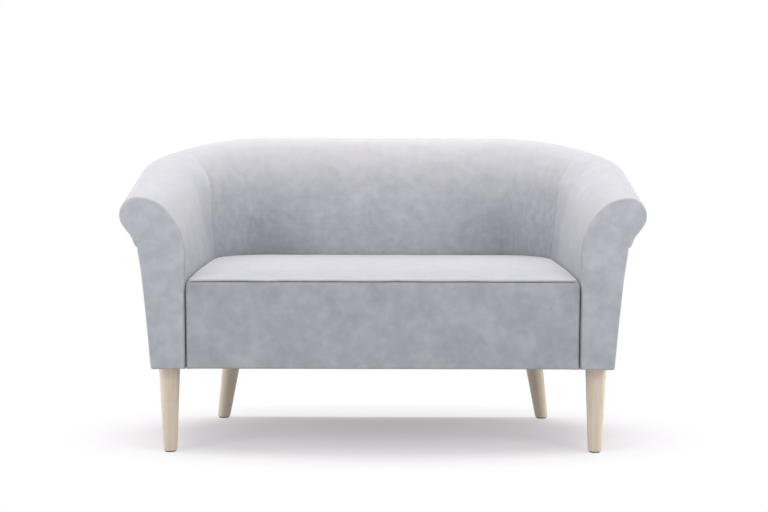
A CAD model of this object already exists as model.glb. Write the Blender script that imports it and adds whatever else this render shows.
import collections
import math

import bmesh
import bpy
import numpy
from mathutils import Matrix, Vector, noise
from mathutils.geometry import delaunay_2d_cdt


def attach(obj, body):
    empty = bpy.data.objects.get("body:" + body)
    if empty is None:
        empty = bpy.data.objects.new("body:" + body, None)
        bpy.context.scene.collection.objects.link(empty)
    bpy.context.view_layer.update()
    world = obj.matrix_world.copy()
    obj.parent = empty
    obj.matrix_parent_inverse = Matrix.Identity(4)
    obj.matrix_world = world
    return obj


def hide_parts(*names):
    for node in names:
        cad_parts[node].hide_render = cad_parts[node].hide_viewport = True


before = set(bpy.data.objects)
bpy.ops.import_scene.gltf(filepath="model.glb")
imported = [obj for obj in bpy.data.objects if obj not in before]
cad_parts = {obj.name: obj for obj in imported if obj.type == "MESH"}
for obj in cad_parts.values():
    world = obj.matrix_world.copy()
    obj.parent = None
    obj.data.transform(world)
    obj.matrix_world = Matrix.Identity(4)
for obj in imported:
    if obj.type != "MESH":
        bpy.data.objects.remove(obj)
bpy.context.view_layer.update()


# Timber frame: plywood arm boards and ribs, softwood rails, a chipboard base and hardboard linings.
# It is glued and stapled together, and the upholstery hides all of it.

GRAIN_STRETCH = (1, 1, 0.06)
FIBRES_PER_STREAK = 9.0
FIBRE_SHARE = 0.35


def add(tree, kind, inputs=None, **settings):
    """Add a node, then set or link its inputs, each by name or number."""
    node = tree.nodes.new(kind)
    for name, value in settings.items():
        setattr(node, name, value)
    for key, value in (inputs or {}).items():
        if isinstance(value, bpy.types.NodeSocket):
            tree.links.new(value, node.inputs[key])
        else:
            node.inputs[key].default_value = value
    return node


def calc(tree, operation, *values):
    return add(tree, "ShaderNodeMath", dict(enumerate(values)), operation=operation).outputs[0]


def ramp(tree, value, low, high, first=0.0, last=1.0, ease="LINEAR"):
    """A value carried from one range to another and kept inside it."""
    return add(tree, "ShaderNodeMapRange", {
        "Value": value, "From Min": low, "From Max": high, "To Min": first, "To Max": last
    }, interpolation_type=ease).outputs[0]


def mix_colours(tree, factor, first, second):
    return add(tree, "ShaderNodeMix", {0: factor, 6: first, 7: second}, data_type="RGBA").outputs[2]


def raise_surface(tree, shader, height, strength, distance):
    """Let a height show in the light, as a relief of this distance."""
    bump = add(tree, "ShaderNodeBump", {"Strength": strength, "Distance": distance, "Height": height})
    tree.links.new(bump.outputs[0], shader.inputs["Normal"])


def new_group(name, inputs, outputs):
    """A shader node group with named inputs, each with its kind and first value, and named outputs."""
    group = bpy.data.node_groups.new(name, "ShaderNodeTree")
    for label, (kind, value) in inputs.items():
        socket = group.interface.new_socket(label, in_out="INPUT", socket_type="NodeSocket" + kind)
        socket.default_value = value
    for label, kind in outputs.items():
        group.interface.new_socket(label, in_out="OUTPUT", socket_type="NodeSocket" + kind)
    entry = group.nodes.new("NodeGroupInput")
    result = group.nodes.new("NodeGroupOutput")
    return group, entry.outputs, result.inputs


def new_material(name, **constants):
    """A material with its shader's plain values set; socket names have underscores for spaces."""
    material = bpy.data.materials.new(name)
    material.use_nodes = True
    shader = material.node_tree.nodes["Principled BSDF"]
    for label, value in constants.items():
        shader.inputs[label.replace("_", " ")].default_value = value
    return material, material.node_tree, shader


def wood_grain_group():
    """Long streaks and short fibres along Z, between a pale and a dark colour."""
    group, given, result = new_group(
        "wood_grain",
        {
            "Place": ("Vector", (0, 0, 0)),
            "Pale": ("Color", (0.8, 0.7, 0.5, 1)),
            "Dark": ("Color", (0.5, 0.4, 0.3, 1)),
            "Streaks per metre": ("Float", 60.0),
            "Contrast": ("Float", 0.6),
        },
        {"Color": "Color", "Height": "Float"},
    )
    along = add(group, "ShaderNodeVectorMath", {
        0: given["Place"], 1: GRAIN_STRETCH
    }, operation="MULTIPLY").outputs[0]
    streak = add(group, "ShaderNodeTexNoise", {
        "Vector": along, "Scale": given["Streaks per metre"], "Detail": 3.0, "Distortion": 0.4
    }).outputs["Fac"]
    fine = calc(group, "MULTIPLY", given["Streaks per metre"], FIBRES_PER_STREAK)
    fibre = add(group, "ShaderNodeTexNoise", {"Vector": along, "Scale": fine, "Detail": 2.0}).outputs["Fac"]
    both = add(group, "ShaderNodeMix", {0: FIBRE_SHARE, 2: streak, 3: fibre}).outputs[0]
    depth = calc(group, "MULTIPLY", ramp(group, both, 0.35, 0.68), given["Contrast"])
    group.links.new(mix_colours(group, depth, given["Pale"], given["Dark"]), result["Color"])
    group.links.new(fibre, result["Height"])
    return group


wood_grain = wood_grain_group()


def grained(tree, shader, place, pale, dark, streaks, contrast, strength, distance):
    """Give a shader the colour and relief of wood grain."""
    grain = add(tree, "ShaderNodeGroup", {
        "Place": place, "Pale": pale, "Dark": dark, "Streaks per metre": streaks, "Contrast": contrast
    }, node_tree=wood_grain)
    tree.links.new(grain.outputs["Color"], shader.inputs["Base Color"])
    raise_surface(tree, shader, grain.outputs["Height"], strength, distance)


def timber(name, pale, dark, streaks, contrast, turn=(0, 0, 0)):
    """A timber finish on Object coordinates, with the grain turned from upright where asked."""
    material, tree, shader = new_material(name, Roughness=0.65)
    place = add(tree, "ShaderNodeTexCoord").outputs["Object"]
    turned = add(tree, "ShaderNodeMapping", {"Vector": place, "Rotation": turn}).outputs[0]
    grained(tree, shader, turned, pale, dark, streaks, contrast, strength=0.3, distance=0.0005)
    return material


def dress(material, *names):
    """Give CAD pieces a finish; their shapes stay as they are."""
    for name in names:
        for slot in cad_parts[name].material_slots:
            slot.material = material


def sided(*names):
    return [name + side for name in names for side in ("_left", "_right")]


SOFTWOOD = ((0.74, 0.58, 0.36, 1), (0.50, 0.31, 0.15, 1), 30.0, 0.8)
plywood = timber("birch_plywood", (0.70, 0.55, 0.37, 1), (0.50, 0.35, 0.20, 1), 45.0, 0.6)
softwood_across = timber("softwood_across", *SOFTWOOD, turn=(0, math.pi / 2, 0))
softwood_deep = timber("softwood_deep", *SOFTWOOD, turn=(math.pi / 2, 0, 0))
chipboard = timber("chipboard", (0.55, 0.42, 0.27, 1), (0.30, 0.20, 0.11, 1), 320.0, 0.9)
hardboard = timber("hardboard", (0.34, 0.22, 0.12, 1), (0.24, 0.14, 0.07, 1), 500.0, 0.5)

dress(plywood, *sided("arm_front_board", "arm_rib", "corner_rib", "back_rib"), "back_rib_centre")
dress(softwood_across, "top_rail_back", "seat_rail_front", "seat_rail_rear")
dress(softwood_deep, *sided("top_rail", "seat_rail"))
dress(chipboard, *sided("base_board"), "base_board_front", "base_board_rear", "base_brace")
dress(hardboard, *sided("inner_lining", "outside_lining"), "inner_lining_back", "outside_lining_back")


# Suspension: five zigzag springs of tempered steel wire, held by plastic clips on the seat rails.
# A needled felt lies on them and keeps the wire from cutting the seat foam.

def speckled(name, first, second, per_metre, distance, **constants):
    """A finish that wanders between two colours in small specks, with a relief of the same specks."""
    material, tree, shader = new_material(name, **constants)
    place = add(tree, "ShaderNodeTexCoord").outputs["Object"]
    specks = add(tree, "ShaderNodeTexNoise", {
        "Vector": place, "Scale": per_metre, "Detail": 4.0
    }).outputs["Fac"]
    tree.links.new(mix_colours(tree, specks, first, second), shader.inputs["Base Color"])
    raise_surface(tree, shader, specks, 0.5, distance)
    return material


spring_steel = speckled(
    "tempered_wire", (0.10, 0.10, 0.11, 1), (0.24, 0.24, 0.26, 1), 120.0, 0.0001, Metallic=0.9, Roughness=0.38
)
clip_plastic = speckled(
    "clip_plastic", (0.03, 0.03, 0.03, 1), (0.05, 0.05, 0.05, 1), 600.0, 0.0001, Roughness=0.5
)
felt = speckled("needled_felt", (0.20, 0.20, 0.21, 1), (0.44, 0.43, 0.42, 1), 700.0, 0.0008, Roughness=1.0)

dress(spring_steel, "seat_springs")
dress(clip_plastic, "spring_clips")
dress(felt, "spring_felt")


# Inside covers: velvet pulled over foam from behind the seat, up the inside face, out over the roll and
# under it to a hem, and stapled to the frame. Two arm covers meet the back cover at each rear corner, in
# a seam that leans toward the back as it climbs.

WIDTH = 1.320
DEPTH = 0.700
HEIGHT = 0.790
ARM_HEIGHT = 0.657
LEG_HEIGHT = 0.222
SEAT_HEIGHT = 0.446
FLARE_R = 0.117
RIDGE_R = 0.83 * FLARE_R
ROLL_R = 0.046
UNDER = math.radians(35)
HEM_DROP = 0.125
HEM_TUCK = 0.004
HEM_CURL_R = 0.004
BASE_SPREAD = 0.0885
TOE_IN = 0.024
CORNER_R = 0.140
BACK_LEAN = 0.028
RISE_EASE = 0.2
COVER_FOOT = 0.252
APRON_FOOT = 0.2225
APRON_END_Y = -0.319
APRON_BACK = 0.0034
APRON_EASE = 8
COVER_STEP = 0.005
COVER_THICKNESS = 0.002
EDGE_R = 0.004
EDGE_SEAM_WIDTH = 0.0025
EDGE_SEAM_DEPTH = 0.0014
SEAM_SHARE = 0.22
SEAM_WIDTH = 0.007
SEAM_DEPTH = 0.0012
SEAM_SWEEP_RIGHT = 0.022
SEAM_SWEEP_LEFT = 0.045
SEAM_SWEEP_REACH = 0.25
SEAM_SWEEP_CLIMB = (0.04, 0.26)
SEAM_FADE = 0.65
SEAM_FADE_CLIMB = (0.20, 0.30)
SEAM_CALM = 0.7
SEAM_CALM_TURN = 0.001
SWAY_IN = 0.0013
SWAY_OUT = 0.004
SWAY_OUT_FROM = 0.6
FOOT_POINTS = 16
FACE_POINTS = 22
FLARE_POINTS = 18
ROLL_POINTS = 28
UNDER_POINTS = 16
CURL_POINTS = 6
RIDGE_POINT = FOOT_POINTS + FACE_POINTS + 2 * FLARE_POINTS
WAVE = 0.0007
WAVE_LENGTH = 0.085
SMALL_WAVES = 3.1
SMALL_WAVE_SHARE = 0.35
FINE = (0.0, 0.0004, 0.001, 0.0018, 0.0028, 0.004, 0.0054, 0.007)

JOIN = math.sqrt(0.5)
SEAM_CORNER = EDGE_R * (1 - JOIN)
SIDE_R = (FLARE_R - RIDGE_R * JOIN) / (1 - JOIN)
SIDE_SHIFT = (SIDE_R - RIDGE_R) * JOIN
FRONT = -DEPTH / 2
HALF_SEAT = WIDTH / 2 - FLARE_R - ROLL_R
BACK_FACE = DEPTH / 2 - FLARE_R - ROLL_R - BACK_LEAN
CORNER_Y = BACK_FACE - CORNER_R
TOE = math.atan(TOE_IN / (CORNER_Y - FRONT))
CORNER_X = HALF_SEAT - TOE_IN - CORNER_R / math.cos(TOE)
SEAM_Y = CORNER_Y + CORNER_R * math.sin(TOE)
ARM_RUN = (SEAM_Y - FRONT) / math.cos(TOE)
CORNER_RUN = (CORNER_R + FLARE_R) * (math.pi / 2 - TOE)
HALF_RUN = ARM_RUN + CORNER_RUN + CORNER_X
SEAM_RUN = ARM_RUN + SEAM_SHARE * CORNER_RUN
HEM_BELOW = HEM_DROP - ROLL_R - ROLL_R * math.sin(UNDER)
HEM_U = FLARE_R + ROLL_R * math.cos(UNDER) - HEM_BELOW * math.tan(UNDER) - HEM_TUCK
OUT_SLOPE = (HEM_U - BASE_SPREAD) / (ARM_HEIGHT - HEM_DROP - LEG_HEIGHT)

# A station is an upright plane across the wall: where it meets the inside face, which way is out, its sizes.
Station = collections.namedtuple("Station", "x y out_x out_y top lean spread run")
RimPoint = collections.namedtuple("RimPoint", "u z out_u out_z along")


def rim_top(share):
    slope = 1 / (1 - RISE_EASE / 2)
    rise = slope * share
    if share > 1 - RISE_EASE:
        rise = 1 - slope * (1 - share) ** 2 / (2 * RISE_EASE)
    return ARM_HEIGHT + (HEIGHT - ARM_HEIGHT) * rise


SEAM_TOP = rim_top(ARM_RUN / (ARM_RUN + CORNER_RUN))
BACK_SPREAD = HEM_U + BACK_LEAN - (SEAM_TOP - HEM_DROP - LEG_HEIGHT) * OUT_SLOPE


def arm_x(y, inset=0.0):
    return HALF_SEAT - (y - FRONT) * math.tan(TOE) - inset / math.cos(TOE)


def arm_station(y):
    share = (y - FRONT) / (SEAM_Y - FRONT)
    top = ARM_HEIGHT + (SEAM_TOP - ARM_HEIGHT) * share
    lean = BACK_LEAN * share
    spread = BASE_SPREAD + (BACK_SPREAD - BASE_SPREAD) * share
    turn = TOE * share
    return Station(arm_x(y), y, math.cos(turn), math.sin(turn), top, lean, spread, ARM_RUN * share)


def corner_station(share):
    turn = TOE + (math.pi / 2 - TOE) * share
    run = ARM_RUN + CORNER_RUN * share
    x = CORNER_X + CORNER_R * math.cos(turn)
    y = CORNER_Y + CORNER_R * math.sin(turn)
    top = rim_top(run / (ARM_RUN + CORNER_RUN))
    return Station(x, y, math.cos(turn), math.sin(turn), top, BACK_LEAN, BACK_SPREAD, run)


def back_station(x):
    return Station(x, BACK_FACE, 0.0, 1.0, HEIGHT, BACK_LEAN, BACK_SPREAD, HALF_RUN - x)


def mirrored(station):
    return station._replace(x=-station.x, out_x=-station.out_x)


def wall_station(run):
    """The station at a distance round the wall, from the right arm's front to the left arm's."""
    if run > HALF_RUN:
        return mirrored(wall_station(2 * HALF_RUN - run))._replace(run=run)
    if run < ARM_RUN:
        return arm_station(FRONT + run * math.cos(TOE))
    if run < ARM_RUN + CORNER_RUN:
        return corner_station((run - ARM_RUN) / CORNER_RUN)
    return back_station(HALF_RUN - run)


def place(station, u, z):
    return (station.x + u * station.out_x, station.y + u * station.out_y, z)


def spaced(length, step, fine=()):
    """Distances from 0 to a length: fine ones at both ends, even ones between."""
    start = fine[-1] if fine else 0.0
    count = max(2, round((length - 2 * start) / step))
    middle = [start + (length - 2 * start) * k / count for k in range(count + 1)]
    return list(fine[:-1]) + middle + [length - d for d in reversed(fine[:-1])]


def eased(value, low, high):
    """0 up to the low value, 1 from the high one on, and an easy change between."""
    share = min(1.0, max(0.0, (value - low) / (high - low)))
    return share * share * (3 - 2 * share)


def rim_line(station):
    """The rim's line across the wall, from behind the seat over the roll to the curled hem."""
    centre_u = FLARE_R + station.lean
    flare_z = station.top - RIDGE_R
    side_u = centre_u + SIDE_SHIFT
    side_z = flare_z - SIDE_SHIFT
    roll_z = station.top - ROLL_R
    rise = side_z - SEAT_HEIGHT
    tilt = math.acos(SIDE_R / math.hypot(side_u, rise)) - math.atan2(rise, side_u)
    lip = (side_u - SIDE_R * math.cos(tilt), side_z + SIDE_R * math.sin(tilt))
    face = math.hypot(lip[0], lip[1] - SEAT_HEIGHT)
    under = (centre_u + ROLL_R * math.cos(UNDER), roll_z - ROLL_R * math.sin(UNDER))
    drop = (under[1] - station.top + HEM_DROP) / math.cos(UNDER) - HEM_CURL_R
    foot = APRON_FOOT if station.y < APRON_END_Y else COVER_FOOT
    back = APRON_BACK if station.y < APRON_END_Y else 0.0
    points = []

    def stretch(count, length, at):
        start = points[-1].along if points else foot - SEAT_HEIGHT
        for k in range(1 if points else 0, count + 1):
            u, z, out_u, out_z = at(k / count)
            points.append(RimPoint(u, z, out_u, out_z, start + length * k / count))

    def behind_seat(share):
        return back * min(1.0, APRON_EASE * (1 - share)), foot + (SEAT_HEIGHT - foot) * share, -1.0, 0.0

    def inside_face(share):
        return lip[0] * share, SEAT_HEIGHT + (lip[1] - SEAT_HEIGHT) * share, -math.cos(tilt), math.sin(tilt)

    def arc(u, z, radius, first, last):
        def at(share):
            angle = first + (last - first) * share
            out_u = math.cos(angle)
            out_z = math.sin(angle)
            return u + radius * out_u, z + radius * out_z, out_u, out_z
        return at

    def under_roll(share):
        middle = min(1.0, max(0.0, 2 * share - 0.5))
        sway = SWAY_OUT * eased(share, SWAY_OUT_FROM, 1.0) - SWAY_IN * math.sin(math.pi * middle) ** 2
        u = under[0] - drop * share * math.sin(UNDER) + sway * math.cos(UNDER)
        z = under[1] - drop * share * math.cos(UNDER) - sway * math.sin(UNDER)
        return u, z, math.cos(UNDER), -math.sin(UNDER)

    eighth = math.pi / 4
    stretch(FOOT_POINTS, SEAT_HEIGHT - foot, behind_seat)
    stretch(FACE_POINTS, face, inside_face)
    stretch(FLARE_POINTS, SIDE_R * (eighth - tilt), arc(side_u, side_z, SIDE_R, math.pi - tilt, 3 * eighth))
    stretch(FLARE_POINTS, RIDGE_R * eighth, arc(centre_u, flare_z, RIDGE_R, 3 * eighth, 2 * eighth))
    stretch(ROLL_POINTS, ROLL_R * (2 * eighth + UNDER), arc(centre_u, roll_z, ROLL_R, 2 * eighth, -UNDER))
    stretch(UNDER_POINTS, drop, under_roll)
    curl_u = points[-1].u - HEM_CURL_R * math.cos(UNDER)
    curl_z = points[-1].z + HEM_CURL_R * math.sin(UNDER)
    stretch(CURL_POINTS, HEM_CURL_R * math.pi, arc(curl_u, curl_z, HEM_CURL_R, -UNDER, -UNDER - math.pi))
    return points


def fold_in(distance, width, depth):
    """How far cloth has turned in at a distance from a sewn edge."""
    if distance >= width:
        return 0.0
    return depth * (1 - math.sqrt(1 - (1 - max(0.0, distance) / width) ** 2))


def edge_turn(distance):
    """How far a cover has turned in, at a distance back from the flat front of a facing."""
    if distance >= EDGE_R:
        return 0.0
    return EDGE_R - math.sqrt(EDGE_R ** 2 - (EDGE_R - distance) ** 2)


def ripple(along, across, seed):
    """The slight unevenness of hand-laid foam under cloth."""
    a = along / WAVE_LENGTH
    b = across / WAVE_LENGTH
    large = noise.noise(Vector((a, b, seed)))
    small = noise.noise(Vector((a * SMALL_WAVES, b * SMALL_WAVES, seed + 7.0)))
    return WAVE * (large + SMALL_WAVE_SHARE * small)


def new_mesh(name, points, faces, edges=()):
    mesh = bpy.data.meshes.new(name)
    mesh.from_pydata(points, edges, faces)
    return mesh


def new_object(name, data):
    thing = bpy.data.objects.new(name, data)
    bpy.context.scene.collection.objects.link(thing)
    return thing


def cloth_object(name, mesh, pairs):
    """A smooth cloth piece with a UV map in metres, given as one pair for each point."""
    layer = mesh.uv_layers.new(name="cloth")
    for loop in mesh.loops:
        layer.data[loop.index].uv = pairs[loop.vertex_index]
    mesh.shade_smooth()
    return new_object(name, mesh)


def cloth_grid(name, rows, maps, flip=False):
    """A cloth piece from rows of points and their places on the cloth."""
    width = len(rows[0])
    faces = []
    for r in range(len(rows) - 1):
        for c in range(width - 1):
            a = r * width + c
            face = (a, a + 1, a + width + 1, a + width)
            faces.append(face[::-1] if flip else face)
    mesh = new_mesh(name, [point for row in rows for point in row], faces)
    return cloth_object(name, mesh, [pair for row in maps for pair in row])


def apply_modifiers(piece):
    done = bpy.data.meshes.new_from_object(piece.evaluated_get(bpy.context.evaluated_depsgraph_get()))
    done.name = piece.name
    old = piece.data
    piece.modifiers.clear()
    piece.data = done
    bpy.data.meshes.remove(old)


def thicken(piece, thickness):
    """Give cloth its thickness, inward."""
    solid = piece.modifiers.new("thickness", "SOLIDIFY")
    solid.thickness = thickness
    solid.offset = -1
    apply_modifiers(piece)


VELVET_COOL = (0.430, 0.454, 0.492, 1)
VELVET_MAUVE = (0.445, 0.4515, 0.492, 1)
VELVET_CREST = (0.462, 0.449, 0.466, 1)
VELVET_SHEEN = (1.0, 0.96, 0.965, 1)
CLOUDS_PER_METRE = 13.0
MOTTLES_PER_METRE = 36.0
PILE_PER_METRE = 900.0
PILE_DEPTH = 0.06
HOLLOW_AT = 0.33
HOLLOW_WIDTH = 0.13
HOLLOW_CLIMB = (0.12, 0.22)
SIDE_REACH = (0.40, 0.60)
PAST_RIDGE_REACH = (0.02, 0.09)


def velvet_nap_group():
    """Velvet whose pile lies differently from place to place: clouds, mottles, brushed streaks, fine pile."""
    group, given, result = new_group(
        "velvet_nap",
        {
            "Place": ("Vector", (0, 0, 0)),
            "Past ridge": ("Float", 0.0),
            "Streaks along": ("Float", 6.0),
            "Streaks across": ("Float", 160.0),
            "Streak depth": ("Float", 0.10),
            "Cloud depth": ("Float", 0.12),
            "Mottle depth": ("Float", 0.30),
            "Low": ("Float", 0.0),
            "High": ("Float", 1.0),
            "Low tone": ("Float", 1.0),
            "High tone": ("Float", 1.0),
            "Middle": ("Float", 0.0),
            "Hollow depth": ("Float", 0.0),
            "Side tone": ("Float", 1.0),
            "Crest low": ("Float", 0.0),
            "Crest high": ("Float", 1.0),
            "Crest tint": ("Float", 0.0),
            "Crest calm": ("Float", 0.0),
        },
        {"Color": "Color", "Height": "Float", "Roughness": "Float"},
    )

    def patches(per_metre, detail, roughness, spot=given["Place"]):
        return add(group, "ShaderNodeTexNoise", {
            "Vector": spot, "Scale": per_metre, "Detail": detail, "Roughness": roughness, "Distortion": 0.4
        }).outputs["Fac"]

    def times(*values):
        product = values[0]
        for value in values[1:]:
            product = calc(group, "MULTIPLY", product, value)
        return product

    def less(first, second):
        return calc(group, "SUBTRACT", first, second)

    def swing(value, depth):
        return calc(group, "MULTIPLY_ADD", less(value, 0.5), depth, 1.0)

    stretch = add(group, "ShaderNodeCombineXYZ", {
        0: given["Streaks along"], 1: given["Streaks across"], 2: 1.0
    }).outputs[0]
    brushed = add(group, "ShaderNodeVectorMath", {
        0: given["Place"], 1: stretch
    }, operation="MULTIPLY").outputs[0]
    clouds = patches(CLOUDS_PER_METRE, 2.0, 0.5)
    mottles = patches(MOTTLES_PER_METRE, 2.0, 0.5)
    streaks = patches(1.0, 3.0, 0.6, brushed)
    pile = patches(PILE_PER_METRE, 2.0, 0.5)
    spot = add(group, "ShaderNodeSeparateXYZ", {0: given["Place"]}).outputs
    aside = calc(group, "ABSOLUTE", less(spot["X"], given["Middle"]))
    height = spot["Y"]
    inside = ramp(group, given["Past ridge"], *PAST_RIDGE_REACH, 1.0, 0.0)
    crest = times(inside, ramp(group, height, given["Crest low"], given["Crest high"]))

    tint = ramp(group, calc(group, "ADD", clouds, mottles), 0.8, 1.2)
    colour = mix_colours(group, tint, VELVET_COOL, VELVET_MAUVE)
    colour = mix_colours(group, times(crest, given["Crest tint"]), colour, VELVET_CREST)

    off = calc(group, "DIVIDE", less(aside, HOLLOW_AT), HOLLOW_WIDTH)
    bell = calc(group, "POWER", math.e, times(off, off, -1.0))
    low_down = ramp(group, height, *HOLLOW_CLIMB, 1.0, 0.0)
    hollow = less(1.0, times(bell, low_down, given["Hollow depth"]))
    brushing = ramp(group, height, given["Low"], given["High"], given["Low tone"], given["High tone"])
    flank = ramp(group, aside, *SIDE_REACH, 1.0, given["Side tone"])
    tone = calc(group, "MULTIPLY_ADD", less(times(brushing, hollow, flank), 1.0), inside, 1.0)
    uneven = less(1.0, times(crest, given["Crest calm"]))
    shade = times(tone, swing(pile, PILE_DEPTH))
    for value, depth in ((clouds, "Cloud depth"), (mottles, "Mottle depth"), (streaks, "Streak depth")):
        shade = times(shade, swing(value, times(given[depth], uneven)))
    shaded = add(group, "ShaderNodeVectorMath", {0: colour, 3: shade}, operation="SCALE").outputs[0]
    group.links.new(shaded, result["Color"])
    group.links.new(calc(group, "MULTIPLY_ADD", streaks, 0.6, pile), result["Height"])
    group.links.new(ramp(group, mottles, 0.0, 1.0, 0.72, 0.92), result["Roughness"])
    return group


velvet_nap = velvet_nap_group()


def velvet(name, **nap_values):
    """Velvet on the piece's own cloth map, with the values that differ from the nap's own."""
    material, tree, shader = new_material(
        name, Sheen_Weight=0.35, Sheen_Roughness=0.35, Sheen_Tint=VELVET_SHEEN, Specular_IOR_Level=0.2
    )
    inputs = {label.replace("_", " "): value for label, value in nap_values.items()}
    inputs["Place"] = add(tree, "ShaderNodeUVMap", uv_map="cloth").outputs[0]
    inputs["Past ridge"] = add(tree, "ShaderNodeAttribute", attribute_name="past_ridge").outputs["Fac"]
    nap = add(tree, "ShaderNodeGroup", inputs, node_tree=velvet_nap)
    tree.links.new(nap.outputs["Color"], shader.inputs["Base Color"])
    tree.links.new(nap.outputs["Roughness"], shader.inputs["Roughness"])
    raise_surface(tree, shader, nap.outputs["Height"], 0.35, 0.0006)
    return material


def upholster(piece, material, fill, *names):
    """A padded piece in its cloth, standing for these CAD pieces."""
    piece.data.materials.clear()
    piece.data.materials.append(material)
    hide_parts(*names)
    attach(piece, "root")


def seam_sweep(run, along, left):
    """How far the cloth's upright lines lean round the corner at a height, so that the seams do."""
    if run > HALF_RUN:
        return -seam_sweep(2 * HALF_RUN - run, along, True)
    near = eased(abs(run - SEAM_RUN), SEAM_SWEEP_REACH, 0.0)
    return (SEAM_SWEEP_LEFT if left else SEAM_SWEEP_RIGHT) * near * eased(along, *SEAM_SWEEP_CLIMB)


def wall_cover(name, first, last, sewn, seed, left=False):
    """An inside cover between two distances round the wall; sewn says how far it turns in at its ends."""
    rows = []
    maps = []
    past_ridge = []
    for distance in spaced(last - first, COVER_STEP, FINE):
        upright = wall_station(first + distance)
        rim = rim_line(upright)
        past_ridge += [p.along - rim[RIDGE_POINT].along for p in rim]
        row = []
        pairs = []
        for k, p in enumerate(rim):
            station = upright
            sweep = seam_sweep(upright.run, p.along, left)
            if sweep:
                station = wall_station(upright.run + sweep)
                p = rim_line(station)[k]
            if left:
                station = mirrored(station)
            turn = sewn(distance, last - first - distance, p.along)
            calm = 1 - SEAM_CALM * min(1.0, turn / SEAM_CALM_TURN)
            into = turn - ripple(station.run, p.along, seed) * calm
            row.append(place(station, p.u - into * p.out_u, p.z - into * p.out_z))
            pairs.append((station.run + seed, p.along))
        rows.append(row)
        maps.append(pairs)
    piece = cloth_grid(name, rows, maps, left)
    piece.data.attributes.new("past_ridge", "FLOAT", "POINT").data.foreach_set("value", past_ridge)
    thicken(piece, COVER_THICKNESS)
    return piece


def seam_depth(along):
    """The corner seam's depth at a height: it is pulled tight where the cloth turns over the rim."""
    return SEAM_DEPTH * (1 - SEAM_FADE * eased(along, *SEAM_FADE_CLIMB))


def arm_ends(from_front, from_seam, along=0.0):
    front = edge_turn(SEAM_CORNER + from_front) + fold_in(from_front, EDGE_SEAM_WIDTH, EDGE_SEAM_DEPTH)
    return front + fold_in(from_seam, SEAM_WIDTH, seam_depth(along))


def back_ends(from_right, from_left, along=0.0):
    return fold_in(min(from_right, from_left), SEAM_WIDTH, seam_depth(along))


BACK_SEED = 11.0
velvet_back = velvet(
    "velvet_back", Streaks_along=6.0, Streaks_across=110.0,
    Streak_depth=0.10, Cloud_depth=0.32, Mottle_depth=0.42,
    Low=0.01, High=0.32, Low_tone=0.78, High_tone=1.22,
    Middle=HALF_RUN + BACK_SEED, Hollow_depth=0.20, Side_tone=0.955,
    Crest_low=0.13, Crest_high=0.33, Crest_tint=0.9, Crest_calm=0.7,
)

for side, seed in (("right", 3.0), ("left", 5.0)):
    velvet_arm = velvet(
        "velvet_arm_" + side, Streaks_along=110.0, Streaks_across=6.0,
        Streak_depth=0.07, Cloud_depth=0.26, Mottle_depth=0.28,
        Low=0.04, High=0.24, Low_tone=0.845, High_tone=1.14,
        Middle=seed, Side_tone=1.11,
        Crest_low=0.07, Crest_high=0.15, Crest_tint=0.45, Crest_calm=0.5,
    )
    piece_name = "arm_cover_" + side + "_velvet"
    arm_cover = wall_cover(piece_name, SEAM_CORNER, SEAM_RUN, arm_ends, seed, side == "left")
    upholster(arm_cover, velvet_arm, 0.9, "arm_cover_" + side, "arm_foam_" + side)
back_cover = wall_cover("back_cover_velvet", SEAM_RUN, 2 * HALF_RUN - SEAM_RUN, back_ends, BACK_SEED)
upholster(back_cover, velvet_back, 0.9, "back_cover", "back_foam")


# Arm facings: a scroll of velvet over a thin pad on the plywood arm front, sewn to the arm cover round its
# edge. The bottom is turned under the base and stapled.

FACING_CROWN = 0.0022
FACING_CROWN_REACH = 0.022
FACING_STEP = 0.009
FACING_EDGE_STEP = 0.003
FACING_RINGS = (SEAM_CORNER, 0.0016, 0.0021, 0.0027, 0.0034, 0.0042, 0.0055, 0.008, 0.012)
FACING_TURN_UNDER = 0.032
FACING_TURN_BACK = 0.004
FACING_WAVE = 0.6
FACING_SEED = 21.0
TURN_BELOW = 0.0001
HEM_SWEEP = 0.0055
HEM_SWEEP_LENGTH = 0.05
HEM_NOTCH = 0.006
HEM_DEPTHS = (0.003, 0.006, 0.009, 0.013, 0.018, 0.024, 0.032, 0.042, 0.055, 0.07, 0.09, 0.12, 0.16)


def hem_sweep(depth):
    """How far the cloth below the hem stands out to meet it, at a depth below."""
    return HEM_SWEEP / (1 + (depth / HEM_SWEEP_LENGTH) ** 2)


def facing_outline():
    """The scroll's edge in its own plane, as (out, up) points, going up the inside first."""
    station = arm_station(FRONT)
    hem_z = station.top - HEM_DROP
    rim = rim_line(station)
    points = [(rim[0].u, LEG_HEIGHT)]
    points += [(p.u, p.z) for p in rim[1:-CURL_POINTS]]
    points += [(HEM_U - OUT_SLOPE * depth + hem_sweep(depth), hem_z - depth) for depth in HEM_DEPTHS]
    points.append((BASE_SPREAD, LEG_HEIGHT))
    return points


def resampled(points, step):
    """A closed line's points at even steps, with its own corners kept."""
    out = []
    for k, (u, z) in enumerate(points):
        next_u, next_z = points[(k + 1) % len(points)]
        count = max(1, round(math.hypot(next_u - u, next_z - z) / step))
        out += [(u + (next_u - u) * i / count, z + (next_z - z) * i / count) for i in range(count)]
    return numpy.array(out)


def distance_to_line(points, line):
    """Distance of each point from a closed line."""
    run = numpy.roll(line, -1, axis=0) - line
    offset = points[:, None, :] - line[None, :, :]
    share = numpy.clip((offset * run).sum(2) / (run * run).sum(1), 0, 1)
    gap = offset - share[:, :, None] * run
    return numpy.sqrt((gap * gap).sum(2)).min(1)


def inward_of(line):
    """Unit directions into a closed line that goes clockwise."""
    run = numpy.roll(line, -1, axis=0) - numpy.roll(line, 1, axis=0)
    run /= numpy.linalg.norm(run, axis=1)[:, None]
    return numpy.stack((run[:, 1], -run[:, 0]), axis=1)


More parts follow.
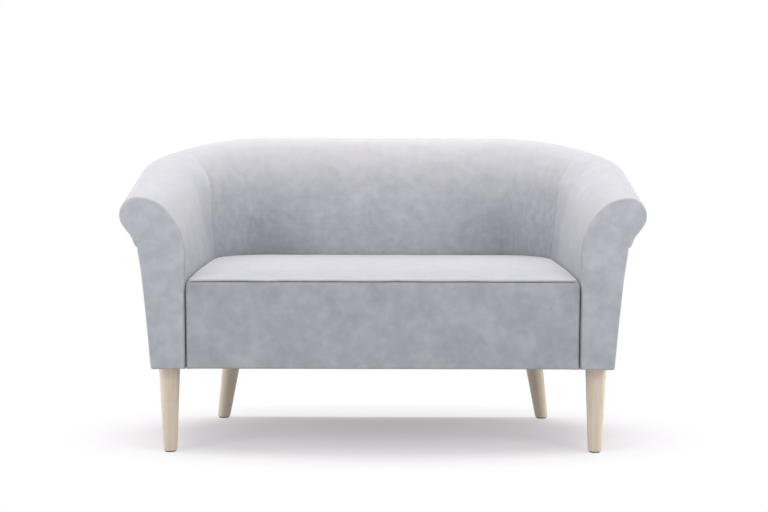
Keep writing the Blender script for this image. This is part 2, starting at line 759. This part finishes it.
def triangles(points, edges):
    """Points and triangles of the field inside these closed edges, each a list of point numbers."""
    found = delaunay_2d_cdt([Vector(p) for p in points], [], edges, 1, 1e-6)
    return [tuple(p) for p in found[0]], [list(face) for face in found[2]]


def field_points(line, insets, step):
    """Points inside a closed clockwise line, rings near its edge and then an even field."""
    inward = inward_of(line)
    points = []
    for inset in insets:
        ring = line + inward * inset
        points.append(ring[distance_to_line(ring, line) > inset - 0.0001])
    low = line.min(0)
    high = line.max(0)
    field = []
    row = 0
    z = low[1]
    while z < high[1]:
        field += [(u + step / 2 * (row % 2), z) for u in numpy.arange(low[0], high[0], step)]
        row += 1
        z += step * math.sqrt(0.75)
    field = numpy.array(field)
    points.append(field[distance_to_line(field, line) > insets[-1] + step * 0.6])
    return numpy.concatenate(points), len(points[0])


def look_down(shape, axis):
    """Turn a sheet's faces, where they don't yet, to look down an axis."""
    if sum(face.normal[axis] * face.calc_area() for face in shape.faces) > 0:
        bmesh.ops.reverse_faces(shape, faces=shape.faces)


outline = resampled(facing_outline(), FACING_EDGE_STEP)
flat, edge_count = field_points(outline, FACING_RINGS, FACING_STEP)
facing_points, facing_faces = triangles(flat, [list(range(edge_count))])
from_edge = distance_to_line(numpy.array(facing_points), outline)
velvet_facing = velvet(
    "velvet_facing", Streaks_along=28.0, Streaks_across=14.0,
    Streak_depth=0.08, Cloud_depth=0.34, Mottle_depth=0.34,
    Low=0.25, High=0.62, Low_tone=1.025, High_tone=1.125,
)

for side, sign in (("right", 1), ("left", -1)):
    verts = []
    for (u, z), gap in zip(facing_points, from_edge):
        crown = FACING_CROWN * (1 - math.exp(-max(0.0, gap - EDGE_R) / FACING_CROWN_REACH))
        turn = edge_turn(gap) + fold_in(gap - SEAM_CORNER, EDGE_SEAM_WIDTH, EDGE_SEAM_DEPTH)
        y = FRONT + turn - crown - FACING_WAVE * ripple(u, z, FACING_SEED + sign)
        verts.append((sign * (HALF_SEAT + u), y, z))
    mesh = new_mesh("arm_facing", verts, [face[::sign] for face in facing_faces])
    shape = bmesh.new()
    shape.from_mesh(mesh)
    look_down(shape, 1)
    border = [edge for edge in shape.edges if edge.is_boundary]
    grown = bmesh.ops.extrude_edge_only(shape, edges=border)["geom"]
    for vert in (item for item in grown if isinstance(item, bmesh.types.BMVert)):
        if vert.co.z < LEG_HEIGHT + EDGE_R / 2:
            vert.co.y += FACING_TURN_UNDER
            vert.co.z = LEG_HEIGHT - TURN_BELOW
        else:
            vert.co.y += FACING_TURN_BACK
    shape.to_mesh(mesh)
    shape.free()
    pairs = [(v.co.x, v.co.z + v.co.y - FRONT) for v in mesh.vertices]
    facing = cloth_object("arm_facing_" + side + "_velvet", mesh, pairs)
    upholster(facing, velvet_facing, 0.9, "arm_facing_" + side, "facing_pad_" + side)


# Outside covers: flat velvet from under the roll's hem down to the base, over a hardboard lining.
# The top is tacked under the hem, the bottom is turned under the base and stapled.

PANEL_TURN_R = 0.005
PANEL_TURN_UNDER = 0.020
PANEL_TUCK_UP = 0.010
PANEL_TUCK_IN = 0.001
PANEL_STEP = 0.006
PANEL_POINTS = 40
PANEL_SPACING = 1.5
PANEL_UNDER_POINTS = 4
TURN_POINTS = 6
PANEL_TURN_MIDDLE = 1 + PANEL_POINTS + TURN_POINTS // 2
PANEL_CALM_TOP = 6
PANEL_CALM_FOOT = 12
PANEL_WAVE = 0.8


def panel_line(station):
    """An outside cover's line down the wall: tucked top, flat panel, round bottom edge, turn-under."""
    hem_z = station.top - HEM_DROP
    hem_u = HEM_U + station.lean
    slope = (hem_u - station.spread) / (hem_z - LEG_HEIGHT)
    turn_z = LEG_HEIGHT + PANEL_TURN_R
    turn_u = station.spread + PANEL_TURN_R * slope
    line = [(hem_u + PANEL_TUCK_UP * slope - PANEL_TUCK_IN, hem_z + PANEL_TUCK_UP)]
    for k in range(PANEL_POINTS + 1):
        share = (k / PANEL_POINTS) ** PANEL_SPACING
        depth = (hem_z - turn_z) * share
        sweep = hem_sweep(depth) * min(1.0, depth / HEM_NOTCH)
        line.append((hem_u + (turn_u - hem_u) * share + sweep, hem_z - depth))
    for k in range(1, TURN_POINTS + 1):
        angle = math.pi / 2 * k / TURN_POINTS
        line.append((
            turn_u - PANEL_TURN_R * (1 - math.cos(angle)),
            turn_z - PANEL_TURN_R * math.sin(angle) - TURN_BELOW * k / TURN_POINTS,
        ))
    u, z = line[-1]
    line += [(u - PANEL_TURN_UNDER * (k + 1) / PANEL_UNDER_POINTS, z) for k in range(PANEL_UNDER_POINTS)]
    return line


def outside_panel(name, first, last, sewn, seed, left=False):
    """An outside cover between two distances round the wall; sewn says how far it turns in at its ends."""
    rows = []
    maps = []
    for distance in spaced(last - first, PANEL_STEP, FINE):
        station = wall_station(first + distance)
        if left:
            station = mirrored(station)
        inset = sewn(distance, last - first - distance)
        line = panel_line(station)
        row = []
        pairs = []
        along = 0.0
        for k, (u, z) in enumerate(line):
            if k:
                along += math.hypot(u - line[k - 1][0], z - line[k - 1][1])
            calm = min(1.0, k / PANEL_CALM_TOP, (len(line) - 1 - k) / PANEL_CALM_FOOT)
            out = PANEL_WAVE * ripple(station.run, along, seed) * calm - inset
            lift = inset if k > PANEL_TURN_MIDDLE else 0.0
            row.append(place(station, u + out, z + lift))
            pairs.append((station.run + seed, along))
        rows.append(row)
        maps.append(pairs)
    return cloth_grid(name, rows, maps, left)


def hang_panel(piece, name):
    """A tacked outside cover: a single sheet, stretched flat, standing for its CAD piece."""
    piece.data.materials.append(velvet_outside)
    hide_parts(name)
    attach(piece, "root")


velvet_outside = velvet(
    "velvet_outside", Streaks_along=40.0, Streaks_across=10.0,
    Streak_depth=0.08, Cloud_depth=0.30, Mottle_depth=0.34,
)

for side, seed in (("right", 31.0), ("left", 33.0)):
    piece_name = "outside_arm_" + side + "_velvet"
    panel = outside_panel(piece_name, SEAM_CORNER, ARM_RUN, arm_ends, seed, side == "left")
    hang_panel(panel, "outside_arm_cover_" + side)
panel = outside_panel("outside_back_velvet", ARM_RUN, 2 * HALF_RUN - ARM_RUN, back_ends, 41.0)
hang_panel(panel, "outside_back_cover")


# Seat front: a velvet border over a thin pad on the front rail, sewn to the seat top along one plain seam.
# Its ends tuck in beside the arm facings and its bottom is turned under the base.

SEAT_RECESS = 0.008
SEAT_GAP = 0.003
SEAT_FRONT = FRONT + SEAT_RECESS
BORDER_STEP = 0.006
BORDER_END_STEPS = (0.0, 0.002, 0.005)
BORDER_BULGE = 0.003
BORDER_BULGE_EASE = 0.03
BORDER_TURN_R = 0.004
BORDER_TURN_UNDER = 0.026
BORDER_UNDER_POINTS = 3
BORDER_END_R = 0.0025
BORDER_RETURN = 0.020
BORDER_SIDE_GAP = 0.001
BORDER_CORNER_R = 0.009
BORDER_WAVE = 0.8
BORDER_SEED = 51.0
BORDER_PRESSURE = 2.0
BORDER_SWELL = 0.002
SEAT_SEAM = 0.0022
SEAM_LEAN = 0.0022
SEAM_LEAN_HEIGHT = 0.011
SEAM_TUCK = 0.005
SEAM_TUCK_HEIGHT = 0.0016
SEAM_HEIGHTS = (0.009, 0.007, 0.005, 0.0035, 0.0024, 0.0016, 0.0011, 0.0006, 0.0002, 0.0)
SIMULATED_FRAMES = 20


def swell(piece, pinned, pressure, limit):
    """Let pressure fill cloth that is held at its pinned points, and keep each point within a limit."""
    start = [v.co.copy() for v in piece.data.vertices]
    held = piece.vertex_groups.new(name="held")
    held.add(pinned, 1.0, "REPLACE")
    cloth = piece.modifiers.new("cloth", "CLOTH")
    cloth.settings.vertex_group_mass = "held"
    cloth.settings.use_pressure = True
    cloth.settings.uniform_pressure_force = pressure
    cloth.settings.effector_weights.gravity = 0
    cloth.settings.mass = 0.3
    cloth.settings.tension_stiffness = 25
    cloth.settings.compression_stiffness = 25
    cloth.settings.bending_stiffness = 2
    cloth.collision_settings.use_self_collision = False
    cloth.point_cache.frame_start = 1
    cloth.point_cache.frame_end = SIMULATED_FRAMES
    for step in range(1, SIMULATED_FRAMES + 1):
        bpy.context.scene.frame_set(step)
    apply_modifiers(piece)
    bpy.context.scene.frame_set(1)
    piece.vertex_groups.clear()
    for vert, first in zip(piece.data.vertices, start):
        move = vert.co - first
        if move.length > limit:
            vert.co = first + move * (limit / move.length)


def grid_border(rows, columns):
    """Numbers of a grid's outer points, two deep."""
    edge = {0, 1}
    return [
        r * columns + c
        for r in range(rows)
        for c in range(columns)
        if r in edge or c in edge or r >= rows - 2 or c >= columns - 2
    ]


half = arm_x(SEAT_FRONT, BORDER_SIDE_GAP)
end = [(-half, BORDER_RETURN), (-half, 2 * BORDER_END_R)]
for k in range(TURN_POINTS):
    angle = math.pi / 2 * k / TURN_POINTS
    end.append((-half + BORDER_END_R * (1 - math.cos(angle)), BORDER_END_R * (1 - math.sin(angle))))
straight = half - BORDER_END_R
across = end + [(d - straight, 0.0) for d in spaced(2 * straight, BORDER_STEP, BORDER_END_STEPS)]
across += [(-x, back) for x, back in reversed(end)]
bottom_z = LEG_HEIGHT - TURN_BELOW
up = [
    (BORDER_TURN_UNDER * (1 - k / BORDER_UNDER_POINTS) + BORDER_TURN_R, bottom_z)
    for k in range(BORDER_UNDER_POINTS)
]
for k in range(TURN_POINTS + 1):
    angle = math.pi / 2 * k / TURN_POINTS
    up.append((BORDER_TURN_R * (1 - math.sin(angle)), bottom_z + BORDER_TURN_R * (1 - math.cos(angle))))
seam_z = SEAT_HEIGHT - SEAT_SEAM
upright_z = up[-1][1]
upright = seam_z - SEAM_LEAN_HEIGHT - upright_z
up += [(0.0, upright_z + height) for height in spaced(upright, BORDER_STEP)[1:]]
for gap in SEAM_HEIGHTS:
    lean = fold_in(gap, SEAM_LEAN_HEIGHT, SEAM_LEAN)
    up.append((lean + fold_in(gap, SEAM_TUCK_HEIGHT, SEAM_TUCK), seam_z - gap))
rows = []
maps = []
for back, z in up:
    share = (z - LEG_HEIGHT) / (SEAT_HEIGHT - LEG_HEIGHT)
    bulge = BORDER_BULGE * max(0.0, 1 - (2 * share - 1) ** 4)
    narrow = 1 - fold_in(seam_z - z, BORDER_CORNER_R, BORDER_CORNER_R) / half
    row = []
    for x, end_back in across:
        ease = 1 - math.exp(-(half - abs(x)) / BORDER_BULGE_EASE)
        stand = (bulge + BORDER_WAVE * ripple(x, z, BORDER_SEED)) * ease
        row.append((x * narrow, SEAT_FRONT + back + end_back - stand, z))
    rows.append(row)
    maps.append([(x, z - back) for x, end_back in across])
velvet_seat_front = velvet(
    "velvet_seat_front", Streaks_along=16.0, Streaks_across=40.0,
    Streak_depth=0.06, Cloud_depth=0.42, Mottle_depth=0.36,
    Low_tone=0.92, High_tone=0.92,
)
seat_front = cloth_grid("seat_front_velvet", rows, maps, flip=True)
swell(seat_front, grid_border(len(rows), len(across)), BORDER_PRESSURE, BORDER_SWELL)
thicken(seat_front, COVER_THICKNESS)
upholster(seat_front, velvet_seat_front, 0.9, "seat_cover_front", "seat_front_pad")


# Seat top: one crowned seat of velvet over foam, filling the space between the arms and the back.
# Its top edge is round, its sides go down beside the arms, and its front is sewn to the border.

SEAT_CROWN = 0.019
SEAT_APEX = 0.119
SEAT_EDGE_R = 0.010
SEAT_REAR_R = 0.005
SEAT_LIP_R = 0.0045
SEAT_LIP_OUT = 0.0012
SEAT_CORNER_R = 0.008
SEAT_STEP = 0.007
SEAT_FINE = (0.0, 0.0003, 0.0008, 0.0016, 0.0028, 0.0045, 0.008)
SEAT_CORNER_ROWS = 30
SEAT_COLUMNS = 131
SEAT_WAVE = 1.4
SEAT_SEED = 61.0
SEAT_PRESSURE = 3.0
SEAT_SWELL = 0.004
EDGE_STEPS = 7
SKIRT = (0.0, 0.0012, 0.003, 0.010, 0.024, 0.045)
EDGE_ASIDE = 0.3
EDGE_CHANGE = 0.5
LIP_TUCK = 0.006
LIP_TUCK_RATE = 2.5
LIP_DROP = 0.0008

apex_y = BACK_FACE - SEAT_APEX
arch_reach = apex_y - SEAT_FRONT
arch_drop = SEAT_CROWN - SEAT_LIP_R
arch_r = (arch_reach ** 2 + arch_drop ** 2) / (2 * arch_drop)
inner = SEAT_GAP + SEAT_EDGE_R
side_y = CORNER_Y + (CORNER_R - inner) * math.sin(TOE)
lip_y = SEAT_FRONT + SEAT_LIP_R - SEAT_LIP_OUT


def seat_top_z(y):
    return SEAT_HEIGHT + SEAT_CROWN - arch_r + math.sqrt(arch_r ** 2 - (y - apex_y) ** 2)


def facing_share(outward):
    """0 for an edge that looks aside, 1 for one that looks straight to the back or the front."""
    return min(1.0, max(0.0, (outward - EDGE_ASIDE) / EDGE_CHANGE))


def edge_radius(outward_y):
    """The seat's edge rounding, by how far its edge faces the back (1) or the front (-1)."""
    target = SEAT_REAR_R if outward_y > 0 else SEAT_LIP_R
    return SEAT_EDGE_R + (target - SEAT_EDGE_R) * facing_share(abs(outward_y))


seat_rows = []
for depth in spaced(side_y - lip_y, SEAT_STEP, SEAT_FINE):
    rounding = fold_in(depth, SEAT_CORNER_R, SEAT_CORNER_R)
    seat_rows.append((lip_y + depth, arm_x(lip_y + depth, inner) - rounding))
for angle in numpy.linspace(TOE, math.pi / 2, SEAT_CORNER_ROWS)[1:]:
    corner_r = CORNER_R - SEAT_GAP - edge_radius(math.sin(angle))
    seat_rows.append((CORNER_Y + corner_r * math.sin(angle), CORNER_X + corner_r * math.cos(angle)))
rows = []
for y, half_width in seat_rows:
    line = half_width * numpy.linspace(-1, 1, SEAT_COLUMNS)
    rows.append([(x, y, seat_top_z(y) + SEAT_WAVE * ripple(x, y, SEAT_SEED)) for x in line])
seat_top = cloth_grid("seat_top_velvet", rows, [[(x, y) for x, y, z in row] for row in rows])
swell(seat_top, grid_border(len(rows), SEAT_COLUMNS), SEAT_PRESSURE, SEAT_SWELL)

last = len(rows) - 1
loop = list(range(SEAT_COLUMNS))
loop += [r * SEAT_COLUMNS + SEAT_COLUMNS - 1 for r in range(1, last + 1)]
loop += [last * SEAT_COLUMNS + c for c in range(SEAT_COLUMNS - 2, -1, -1)]
loop += [r * SEAT_COLUMNS for r in range(last - 1, 0, -1)]
shape = bmesh.new()
shape.from_mesh(seat_top.data)
shape.verts.ensure_lookup_table()
uv_layer = shape.loops.layers.uv["cloth"]
edge_loop = [shape.verts[k] for k in loop]
count = len(edge_loop)
outward = []
for k in range(count):
    run = edge_loop[(k + 1) % count].co - edge_loop[k - 1].co
    outward.append(Vector((run.y, -run.x, 0)).normalized())
rings = [edge_loop]
offsets = [0.0]
for step in range(1, EDGE_STEPS + len(SKIRT)):
    angle = math.pi / 2 * min(1.0, step / EDGE_STEPS)
    below = SKIRT[max(0, step - EDGE_STEPS)]
    ring = []
    for vert, direction in zip(edge_loop, outward):
        front = facing_share(-direction.y)
        radius = edge_radius(direction.y)
        reach = radius * math.sin(angle) - front * min(LIP_TUCK, LIP_TUCK_RATE * below)
        drop = radius * (1 - math.cos(angle)) + below * (1 - front) + front * min(below, LIP_DROP)
        ring.append(shape.verts.new(vert.co + direction * reach - Vector((0, 0, drop))))
    rings.append(ring)
    offsets.append(SEAT_EDGE_R * angle + below)
for (near_ring, near_off), (far_ring, far_off) in zip(zip(rings, offsets), zip(rings[1:], offsets[1:])):
    for k in range(count):
        n = (k + 1) % count
        face = shape.faces.new((near_ring[k], far_ring[k], far_ring[n], near_ring[n]))
        face.smooth = True
        spots = ((k, near_off), (k, far_off), (n, far_off), (n, near_off))
        for corner, (m, off) in zip(face.loops, spots):
            corner[uv_layer].uv = edge_loop[m].co.xy + outward[m].xy * off
shape.to_mesh(seat_top.data)
shape.free()
velvet_seat = velvet(
    "velvet_seat", Streaks_along=4.0, Streaks_across=150.0,
    Streak_depth=0.14, Cloud_depth=0.14, Mottle_depth=0.14,
    Low=-0.30, High=0.15, Low_tone=1.07, High_tone=1.435,
    Crest_low=-2.0, Crest_high=-1.0, Crest_tint=0.45,
)
thicken(seat_top, COVER_THICKNESS)
upholster(seat_top, velvet_seat, 0.85, "seat_cover_top", "seat_foam")


# Dust cover: black non-woven cloth under the base, cut out round each leg.
# It hangs a little slack and is stapled along its edge.

DUST_EDGE_BACK = 0.0061
DUST_BELOW = 0.0003
DUST_SAG = 0.003
DUST_SAG_FROM = 0.03
DUST_SAG_REACH = 0.09
DUST_SAG_LEG_REACH = 0.05
DUST_STEP = 0.028
DUST_EDGE_STEP = 0.012
DUST_RINGS = (0.00001, 0.012)
DUST_CORNER_POINTS = 24
LEG_TOP_D = 0.054
LEG_FOOT_D = 0.035
LEG_TOP_Z = 0.223
LEG_HOLE_CLEAR = 0.001
LEG_HOLE_MARGIN = 0.008
LEG_HOLE_POINTS = 40
LEG_FRONT_SETBACK = 0.055
LEG_FRONT_OUT = 0.0521
LEG_REAR_OUT = 0.084
LEG_REAR_BACK = 0.079
LEG_SPLAY = math.radians(13)
ARM_BODY_Y = FRONT + 0.0291
STAPLE_INSET = 0.009
STAPLE_BELOW = 0.0009
STAPLE_STEP = 0.045
STAPLE_PATH_STEP = 0.01

splay = math.tan(LEG_SPLAY) / math.sqrt(2)
front_y = FRONT + LEG_FRONT_SETBACK
legs = {}
for side, sign in (("left", -1), ("right", 1)):
    front_top = Vector((sign * (arm_x(front_y) + LEG_FRONT_OUT), front_y, LEG_TOP_Z))
    rear_top = Vector((sign * (CORNER_X + LEG_REAR_OUT), CORNER_Y + LEG_REAR_BACK, LEG_TOP_Z))
    legs["front_" + side] = (front_top, Vector((0, 0, -1)))
    legs["rear_" + side] = (rear_top, Vector((sign * splay, splay, -1)))


def dust_outline(inset):
    """The base from above, clockwise, moved in from its edge by an inset."""
    front = arm_station(ARM_BODY_Y)
    radius = CORNER_R + BACK_SPREAD - DUST_EDGE_BACK - inset
    front_point = place(front, front.spread - DUST_EDGE_BACK - inset, 0)
    right = [(front_point[0], front_point[1] + inset)]
    for angle in numpy.linspace(TOE, math.pi / 2, DUST_CORNER_POINTS + 1):
        right.append((CORNER_X + radius * math.cos(angle), CORNER_Y + radius * math.sin(angle)))
    left = [(-x, y) for x, y in right]
    return left + right[::-1]


def from_holes(x, y):
    """How far a point of the dust cover is from each leg's hole, less than 0 inside."""
    return [math.hypot(x - top.x, y - top.y) - hole_r for top, direction in legs.values()]


hole_r = LEG_TOP_D / 2 + LEG_HOLE_CLEAR
dust_edge = resampled(dust_outline(0.0), DUST_EDGE_STEP)
flat, edge_count = field_points(dust_edge, DUST_RINGS, DUST_STEP)
clear = [min(from_holes(x, y)) > LEG_HOLE_MARGIN for x, y in flat]
edges = [list(range(sum(clear[:edge_count])))]
kept = [tuple(p) for p, free in zip(flat, clear) if free]
for top, direction in legs.values():
    edges.append(list(range(len(kept), len(kept) + LEG_HOLE_POINTS)))
    for k in range(LEG_HOLE_POINTS):
        angle = 2 * math.pi * k / LEG_HOLE_POINTS
        kept.append((top.x + hole_r * math.cos(angle), top.y + hole_r * math.sin(angle)))
dust_points, dust_faces = triangles(kept, edges)
verts = []
for (x, y), free in zip(dust_points, distance_to_line(numpy.array(dust_points), dust_edge)):
    sag = DUST_SAG * (1 - math.exp(-max(0.0, free - DUST_SAG_FROM) / DUST_SAG_REACH))
    for near in from_holes(x, y):
        sag *= 1 - math.exp(-max(0.0, near) / DUST_SAG_LEG_REACH)
    slack = 0.8 + 0.5 * noise.noise(Vector((x * 7, y * 7, 2.0)))
    verts.append((x, y, LEG_HEIGHT - DUST_BELOW - sag * slack))
faces = []
for face in dust_faces:
    x, y = numpy.mean([dust_points[k] for k in face], axis=0)
    if min(from_holes(x, y)) > 0:
        faces.append(face)
mesh = new_mesh("dust_cover", verts, faces)
shape = bmesh.new()
shape.from_mesh(mesh)
look_down(shape, 2)
shape.to_mesh(mesh)
shape.free()
dust_cover = cloth_object("dust_cover_cloth", mesh, [(v.co.x, v.co.y) for v in mesh.vertices])
dust_cloth = speckled(
    "dust_cloth", (0.012, 0.012, 0.013, 1), (0.035, 0.035, 0.037, 1), 900.0, 0.0004, Roughness=0.95
)
dust_cover.data.materials.append(dust_cloth)
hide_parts("dust_cover")
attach(dust_cover, "root")


def staple_tree(material):
    """Staples laid along a line: a flat crown of wire at every step."""
    tree = bpy.data.node_groups.new("staples_along_line", "GeometryNodeTree")
    tree.interface.new_socket("Line", in_out="INPUT", socket_type="NodeSocketGeometry")
    for label, value in (("Step", 0.04), ("Crown", 0.011), ("Wire width", 0.0013), ("Wire height", 0.0006)):
        tree.interface.new_socket(label, in_out="INPUT", socket_type="NodeSocketFloat").default_value = value
    tree.interface.new_socket("Staples", in_out="OUTPUT", socket_type="NodeSocketGeometry")
    given = tree.nodes.new("NodeGroupInput").outputs
    result = tree.nodes.new("NodeGroupOutput").inputs
    curve = add(tree, "GeometryNodeMeshToCurve", {"Mesh": given["Line"]}).outputs[0]
    points = add(tree, "GeometryNodeCurveToPoints", {
        "Curve": curve, "Length": given["Step"]
    }, mode="LENGTH").outputs
    size = add(tree, "ShaderNodeCombineXYZ", {
        0: given["Wire width"], 1: given["Wire height"], 2: given["Crown"]
    })
    crown = add(tree, "GeometryNodeMeshCube", {"Size": size.outputs[0]})
    laid = add(tree, "GeometryNodeInstanceOnPoints", {
        "Points": points["Points"], "Instance": crown.outputs["Mesh"], "Rotation": points["Rotation"]
    })
    real = add(tree, "GeometryNodeRealizeInstances", {"Geometry": laid.outputs[0]})
    finished = add(tree, "GeometryNodeSetMaterial", {"Geometry": real.outputs[0], "Material": material})
    tree.links.new(finished.outputs[0], result[0])
    return tree


staple_steel = speckled(
    "staple_steel", (0.45, 0.45, 0.46, 1), (0.62, 0.62, 0.63, 1), 300.0, 0.0001, Metallic=1.0, Roughness=0.35
)
path = [(x, y, LEG_HEIGHT - STAPLE_BELOW) for x, y in resampled(dust_outline(STAPLE_INSET), STAPLE_PATH_STEP)]
links = [(k, (k + 1) % len(path)) for k in range(len(path))]
staples = new_object("dust_cover_staples", new_mesh("dust_cover_staples", path, [], links))
stapling = staples.modifiers.new("staples", "NODES")
stapling.node_group = staple_tree(staple_steel)
for socket in stapling.node_group.interface.items_tree:
    if socket.in_out == "INPUT" and socket.name == "Step":
        stapling[socket.identifier] = STAPLE_STEP
apply_modifiers(staples)
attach(staples, "root")


# Legs: turned beech, bleached pale, tapering to a small glide. The front pair stands upright under the arms,
# the rear pair splays out to the corners. Each is screwed on a bolt into a tee nut in the base.

LEG_FOOT_Z = 0.003
LEG_BEVEL = 0.0022
LEG_SIDES = 56
LEG_RINGS = 36
LEG_BEVEL_RINGS = 5

bleached_beech, tree, shader = new_material("bleached_beech", Roughness=0.48)
grain_place = add(tree, "ShaderNodeAttribute", attribute_name="leg_grain").outputs["Vector"]
BLEACHED = ((0.74, 0.65, 0.52, 1), (0.60, 0.50, 0.38, 1), 110.0, 0.7)
grained(tree, shader, grain_place, *BLEACHED, strength=0.25, distance=0.0003)

leg_run = LEG_TOP_Z - LEG_FOOT_Z
heights = [leg_run * k / LEG_RINGS for k in range(LEG_RINGS)]
heights += [leg_run - LEG_BEVEL * (1 - k / LEG_BEVEL_RINGS) for k in range(LEG_BEVEL_RINGS + 1)]
for number, (name, (top, direction)) in enumerate(legs.items()):
    way = Vector((direction.x, direction.y, 0)).normalized()
    verts = []
    grain_at = []
    for depth in heights:
        radius = LEG_TOP_D / 2 + (LEG_FOOT_D - LEG_TOP_D) / 2 * depth / leg_run
        left_over = leg_run - depth
        if left_over < LEG_BEVEL:
            radius -= LEG_BEVEL - math.sqrt(LEG_BEVEL ** 2 - (LEG_BEVEL - left_over) ** 2)
        for k in range(LEG_SIDES):
            angle = 2 * math.pi * k / LEG_SIDES
            spoke = Vector((math.cos(angle), math.sin(angle), 0)) * radius
            spoke += way * spoke.dot(way) * (direction.length - 1)
            verts.append(top + direction * depth + spoke)
            grain_at += [spoke.x + 0.3 * number, spoke.y, depth + 0.5 * number]
    faces = []
    for ring in range(0, len(verts) - LEG_SIDES, LEG_SIDES):
        for k in range(LEG_SIDES):
            n = (k + 1) % LEG_SIDES
            faces.append((ring + k, ring + LEG_SIDES + k, ring + LEG_SIDES + n, ring + n))
    faces.append(list(range(LEG_SIDES)))
    faces.append(list(range(len(verts) - LEG_SIDES, len(verts)))[::-1])
    mesh = new_mesh("leg_" + name, verts, faces)
    mesh.shade_smooth()
    mesh.polygons[-1].use_smooth = False
    mesh.polygons[-2].use_smooth = False
    mesh.attributes.new("leg_grain", "FLOAT_VECTOR", "POINT").data.foreach_set("vector", grain_at)
    leg = new_object("leg_" + name + "_beech", mesh)
    leg.data.materials.append(bleached_beech)
    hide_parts("leg_" + name)
    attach(leg, "root")

zinc = speckled(
    "zinc_plate", (0.55, 0.55, 0.56, 1), (0.68, 0.68, 0.68, 1), 200.0, 0.0001, Metallic=1.0, Roughness=0.4
)
glide_plastic = speckled(
    "glide_plastic", (0.05, 0.045, 0.04, 1), (0.09, 0.085, 0.08, 1), 500.0, 0.0001, Roughness=0.5
)
dress(zinc, "leg_bolts", "leg_tnuts")
dress(glide_plastic, "leg_glides")


# Stage: a pale seamless floor that keeps the soft shadow under the sofa and clears to white around it, a
# white surround, soft light from all sides, and the camera a little above the seat, looking slightly down.

FLOOR_SIZE = 30.0
FLOOR_GLOW = 0.335
FLOOR_PALE = (0.61, 0.585, 0.61, 1)
FLOOR_TINT = (1, 0.965, 0.99, 1)
SHADOW_CENTRE = (0, 0.28, 0)
SHADOW_SCALE = (1.43, 3.33, 1)
SHADOW_REACH = (0.75, 1.5)
REAR_EDGE = (0.125, 0.150)
REAR_EDGE_SHARE = 0.65
REAR_FADE = (0.15, 0.55)
REAR_FADE_SHARE = 0.35
WORLD_LIGHT = 0.40


def seen_directly(tree):
    """1 for rays that show a surface to the camera, straight or by reflection or through glass, else 0."""
    rays = add(tree, "ShaderNodeLightPath").outputs
    either = calc(tree, "MAXIMUM", rays["Is Camera Ray"], rays["Is Glossy Ray"])
    return calc(tree, "MAXIMUM", either, rays["Is Transmission Ray"])


half = FLOOR_SIZE / 2
corners = [(-half, -half, 0), (half, -half, 0), (half, half, 0), (-half, half, 0)]
floor = new_object("floor", new_mesh("floor", corners, [(0, 1, 2, 3)]))
pale_floor, tree, shader = new_material(
    "pale_floor", Base_Color=FLOOR_PALE, Emission_Color=FLOOR_TINT, Roughness=1.0, Specular_IOR_Level=0.0
)
direct = seen_directly(tree)
tree.links.new(calc(tree, "MULTIPLY", direct, FLOOR_GLOW), shader.inputs["Emission Strength"])
spot = add(tree, "ShaderNodeTexCoord").outputs["Object"]
behind = add(tree, "ShaderNodeSeparateXYZ", {0: spot}).outputs["Y"]
spread = add(tree, "ShaderNodeMapping", {
    0: spot, "Location": SHADOW_CENTRE, "Scale": SHADOW_SCALE
}).outputs[0]
away = add(tree, "ShaderNodeVectorMath", {0: spread}, operation="LENGTH").outputs["Value"]
rear_edge = ramp(tree, behind, *REAR_EDGE, 0.0, REAR_EDGE_SHARE, "SMOOTHSTEP")
rear_fade = ramp(tree, behind, *REAR_FADE, 0.0, REAR_FADE_SHARE, "SMOOTHSTEP")
around = ramp(tree, away, *SHADOW_REACH, 0.0, 1.0, "SMOOTHSTEP")
clear = calc(tree, "MAXIMUM", calc(tree, "ADD", rear_edge, rear_fade), around)
white = add(tree, "ShaderNodeEmission", {"Strength": 1.0})
both = add(tree, "ShaderNodeMixShader", {
    0: calc(tree, "MULTIPLY", direct, clear), 1: shader.outputs[0], 2: white.outputs[0]
})
tree.links.new(both.outputs[0], tree.nodes["Material Output"].inputs["Surface"])
floor.data.materials.append(pale_floor)

world = bpy.data.worlds.new("studio")
bpy.context.scene.world = world
world.use_nodes = True
tree = world.node_tree
background = tree.nodes["Background"].inputs
background["Color"].default_value = (1, 1, 1, 1)
tree.links.new(ramp(tree, seen_directly(tree), 0.0, 1.0, WORLD_LIGHT, 1.0), background["Strength"])


def softbox(name, at, target, width, height, power):
    lamp = bpy.data.lights.new(name, "AREA")
    lamp.shape = "RECTANGLE"
    lamp.size = width
    lamp.size_y = height
    lamp.energy = power
    light = new_object(name, lamp)
    light.location = at
    light.rotation_euler = (Vector(target) - Vector(at)).to_track_quat("-Z", "Y").to_euler()


softbox("softbox_above", (0, -0.2, 2.9), (0, -0.2, 0), width=3.0, height=2.4, power=34.0)
softbox("softbox_low", (0, -3.4, 0.5), (0, 0, 0.25), width=3.0, height=0.6, power=10.0)
softbox("softbox_behind", (0, 1.6, 2.6), (0, 0, 0.5), width=3.0, height=1.2, power=36.0)
for side, sign in (("right", 1), ("left", -1)):
    softbox("softbox_front_" + side, (sign * 2.4, -2.4, 2.4), (0, 0, 0.5), width=1.6, height=1.6, power=30.0)
    low_at = (sign * 2.5, 0.3, 0.25)
    softbox("softbox_strip_" + side, low_at, (sign * 0.4, 0.13, 0.12), width=1.0, height=0.3, power=12.0)
    softbox("softbox_side_" + side, (sign * 3.0, -0.3, 1.2), (0, 0, 0.6), width=1.6, height=1.0, power=15.0)

camera = new_object("camera", bpy.data.cameras.new("camera"))
camera.location = (0.0018, -4.150, 0.890)
camera.rotation_euler = (math.radians(84.3), math.radians(-0.127), 0)
camera.data.sensor_width = 36.0
camera.data.lens = 71.48
bpy.context.scene.camera = camera
bpy.context.scene.view_settings.view_transform = "Standard"
